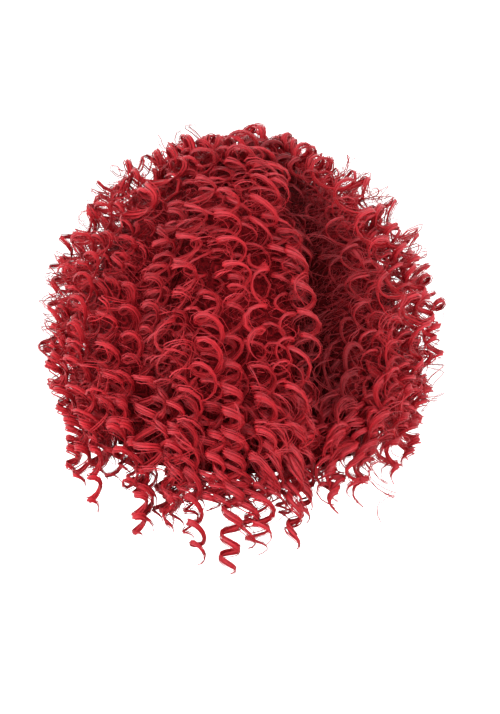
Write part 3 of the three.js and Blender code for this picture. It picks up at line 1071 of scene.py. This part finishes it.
def under_material():
    """The hair between the cap and the outer locks, coloured far darker than the fibre as painted shade:
    rings of curl painted as lighter and darker bands, broken up by fine noise.
    """
    material = bpy.data.materials.new("hair_under")
    tree, nodes, links, shader = nodes_of(material)
    place_node = nodes.new("ShaderNodeTexCoord")
    drift = nodes.new("ShaderNodeTexNoise")
    drift.inputs["Scale"].default_value = 55
    drift.inputs["Detail"].default_value = 2
    links.new(place_node.outputs["Object"], drift.inputs["Vector"])
    spread = nodes.new("ShaderNodeVectorMath")
    spread.operation = "MULTIPLY_ADD"
    spread.inputs[1].default_value = (0.012, 0.012, 0.012)
    links.new(drift.outputs["Color"], spread.inputs[0])
    links.new(place_node.outputs["Object"], spread.inputs[2])
    centres = nodes.new("ShaderNodeTexVoronoi")
    centres.inputs["Scale"].default_value = 48
    links.new(spread.outputs["Vector"], centres.inputs["Vector"])
    turns = nodes.new("ShaderNodeMath")
    turns.operation = "MULTIPLY"
    turns.inputs[1].default_value = 26
    links.new(centres.outputs["Distance"], turns.inputs[0])
    rings = nodes.new("ShaderNodeMath")
    rings.operation = "SINE"
    links.new(turns.outputs["Value"], rings.inputs[0])
    fine = nodes.new("ShaderNodeTexNoise")
    fine.inputs["Scale"].default_value = 420
    fine.inputs["Detail"].default_value = 4
    links.new(spread.outputs["Vector"], fine.inputs["Vector"])
    both = nodes.new("ShaderNodeMath")
    both.operation = "MULTIPLY_ADD"
    both.inputs[1].default_value = 0.15
    links.new(rings.outputs["Value"], both.inputs[0])
    links.new(fine.outputs["Fac"], both.inputs[2])
    # Reds far darker than the fibre's, as painted shade for hair that lies far under the locks
    colours = ramp(
        nodes,
        [
            (0.3, (0.06, 0.0018, 0.0033)),
            (0.5, (0.125, 0.0034, 0.0058)),
            (0.7, (0.21, 0.006, 0.0096)),
        ],
    )
    links.new(both.outputs["Value"], colours.inputs["Fac"])
    # Painted shade in the furrows
    shade = nodes.new("ShaderNodeAttribute")
    shade.attribute_name = "shade"
    deep = nodes.new("ShaderNodeMapRange")
    deep.inputs["To Min"].default_value = 1.0
    deep.inputs["To Max"].default_value = 0.3
    links.new(shade.outputs["Fac"], deep.inputs["Value"])
    darker = nodes.new("ShaderNodeVectorMath")
    darker.operation = "SCALE"
    links.new(colours.outputs["Color"], darker.inputs[0])
    links.new(deep.outputs["Result"], darker.inputs["Scale"])
    links.new(darker.outputs["Vector"], shader.inputs["Base Color"])
    bump = nodes.new("ShaderNodeBump")
    bump.inputs["Strength"].default_value = 1.0
    bump.inputs["Distance"].default_value = 0.003
    links.new(both.outputs["Value"], bump.inputs["Height"])
    links.new(bump.outputs["Normal"], shader.inputs["Normal"])
    shader.inputs["Roughness"].default_value = 0.7
    shader.inputs["Specular IOR Level"].default_value = 0.1
    shader.inputs["Specular Tint"].default_value = (1.0, 0.3, 0.3, 1)
    return material


def net_material():
    """The cap's knitted net, with the rows of stitching that hold the hair."""
    material = bpy.data.materials.new("cap_net")
    tree, nodes, links, shader = nodes_of(material)
    place_node = nodes.new("ShaderNodeTexCoord")
    knit = nodes.new("ShaderNodeTexVoronoi")
    knit.feature = "DISTANCE_TO_EDGE"
    knit.inputs["Scale"].default_value = 420
    links.new(place_node.outputs["Object"], knit.inputs["Vector"])
    rows = nodes.new("ShaderNodeTexWave")
    rows.bands_direction = "Z"
    rows.inputs["Scale"].default_value = 26
    rows.inputs["Distortion"].default_value = 0.6
    links.new(place_node.outputs["Object"], rows.inputs["Vector"])
    colours = ramp(
        nodes,
        [
            (0.0, (0.07, 0.01, 0.014)),
            (0.12, (0.03, 0.005, 0.008)),
            (1.0, (0.012, 0.003, 0.004)),
        ],
    )
    links.new(knit.outputs["Distance"], colours.inputs["Fac"])
    links.new(colours.outputs["Color"], shader.inputs["Base Color"])
    height = nodes.new("ShaderNodeMath")
    height.operation = "SUBTRACT"
    links.new(rows.outputs["Fac"], height.inputs[0])
    links.new(knit.outputs["Distance"], height.inputs[1])
    bump = nodes.new("ShaderNodeBump")
    bump.inputs["Distance"].default_value = 0.0012
    links.new(height.outputs["Value"], bump.inputs["Height"])
    links.new(bump.outputs["Normal"], shader.inputs["Normal"])
    shader.inputs["Roughness"].default_value = 0.85
    return material


# For each layer from outside in: spacing, depths, share of proud locks, share left out of a dark furrow
LAYERS = [
    (20.5, {"out": (4, 9), "flare": 0.45, "skip": 1.2, "strands": 7, "steps": 12, "part": "_locks"}),
    (16, {"out": (15, 20), "flare": 0, "skip": 0.8, "strands": 4, "steps": 10, "part": "_inner"}),
    (13.5, {"out": (26, 32), "flare": 0, "skip": 0, "strands": 2, "steps": 10, "part": "_inner"}),
]
# Long locks, then short ones between: tries, shortest, longest, and the share of a route that may be taken
PASSES = [(900, 120, 190, 0.06), (1500, 60, 110, 0.15)]
layers = [Layer(spacing) for spacing, _ in LAYERS]
grow_hanging(layers[0])
for layer, (_, shape) in zip(layers, LAYERS):
    for tries, shortest, longest, crowded in PASSES:
        grow_layer(layer, tries, shortest, longest, crowded, shape)
grow_face_frame()
grow_crown()
grow_strays(110)
frizz(800, 2, 26, 6)
frizz(110, -3, 8, 8)
frizz(200, 16, 34, 4, middle=SHADE[0][0], spread=SHADE[0][1] + 4, first=70, last=260)
frizz(700, 14, 34, 4)
fibre = fibre_material()
for name, strands in pieces.items():
    piece = strands.build(name, name.rsplit("_", 1)[0])
    piece.data.materials.append(fibre)
under = under_material()
for name, (low, high) in GROUPS.items():
    mass = under_mass(name + "_under", name, low, high, MASS_TOP_RUN, name == "hair_front")
    mass.data.materials.append(under)
crown_mass().data.materials.append(under)

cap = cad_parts["cap"]
cap.data.materials.clear()
cap.data.materials.append(net_material())


# Floor, light and camera
def stage_floor():
    mesh = bpy.data.meshes.new("floor")
    size, z = 6.0, -0.42
    corners = [(-size, -size, z), (size, -size, z), (size, size, z), (-size, size, z)]
    mesh.from_pydata(corners, [], [(0, 1, 2, 3)])
    floor = bpy.data.objects.new("floor", mesh)
    bpy.context.scene.collection.objects.link(floor)
    material = bpy.data.materials.new("floor")
    _, _, _, shader = nodes_of(material)
    shader.inputs["Base Color"].default_value = (0.98, 0.98, 0.98, 1)
    shader.inputs["Roughness"].default_value = 0.9
    mesh.materials.append(material)


def area_light(name, position, target, size, power):
    data = bpy.data.lights.new(name, "AREA")
    data.size = size
    data.energy = power
    light = bpy.data.objects.new(name, data)
    light.location = position
    light.rotation_euler = (Vector(target) - Vector(position)).to_track_quat("-Z", "Y").to_euler()
    bpy.context.scene.collection.objects.link(light)


def stage_camera():
    data = bpy.data.cameras.new("camera")
    data.sensor_fit = "HORIZONTAL"
    data.sensor_width = 36
    distance, view_width = 4.0, 0.45
    data.lens = data.sensor_width * distance / view_width
    camera = bpy.data.objects.new("camera", data)
    target = Vector((-0.008, 0.0, -0.1688))
    elevation = math.radians(3)
    camera.location = target + Vector((0, math.cos(elevation), math.sin(elevation))) * distance
    camera.rotation_euler = (target - camera.location).to_track_quat("-Z", "Y").to_euler()
    bpy.context.scene.collection.objects.link(camera)
    bpy.context.scene.camera = camera


stage_floor()
middle = (0, 0, -0.13)
area_light("key", (1.15, 1.6, 1.25), middle, 1.1, 15)
area_light("fill", (-1.5, 1.6, 0.4), middle, 1.4, 15)
area_light("low", (1.75, 1.2, -0.1), middle, 1.4, 29)
area_light("front", (0.4, -1.8, 0.9), middle, 1.4, 18)
stage_camera()
world = bpy.data.worlds.new("studio")
world.use_nodes = True
world.node_tree.nodes["Background"].inputs["Color"].default_value = (1, 1, 1, 1)
world.node_tree.nodes["Background"].inputs["Strength"].default_value = 1.5
bpy.context.scene.world = world
bpy.context.scene.view_settings.view_transform = "Standard"
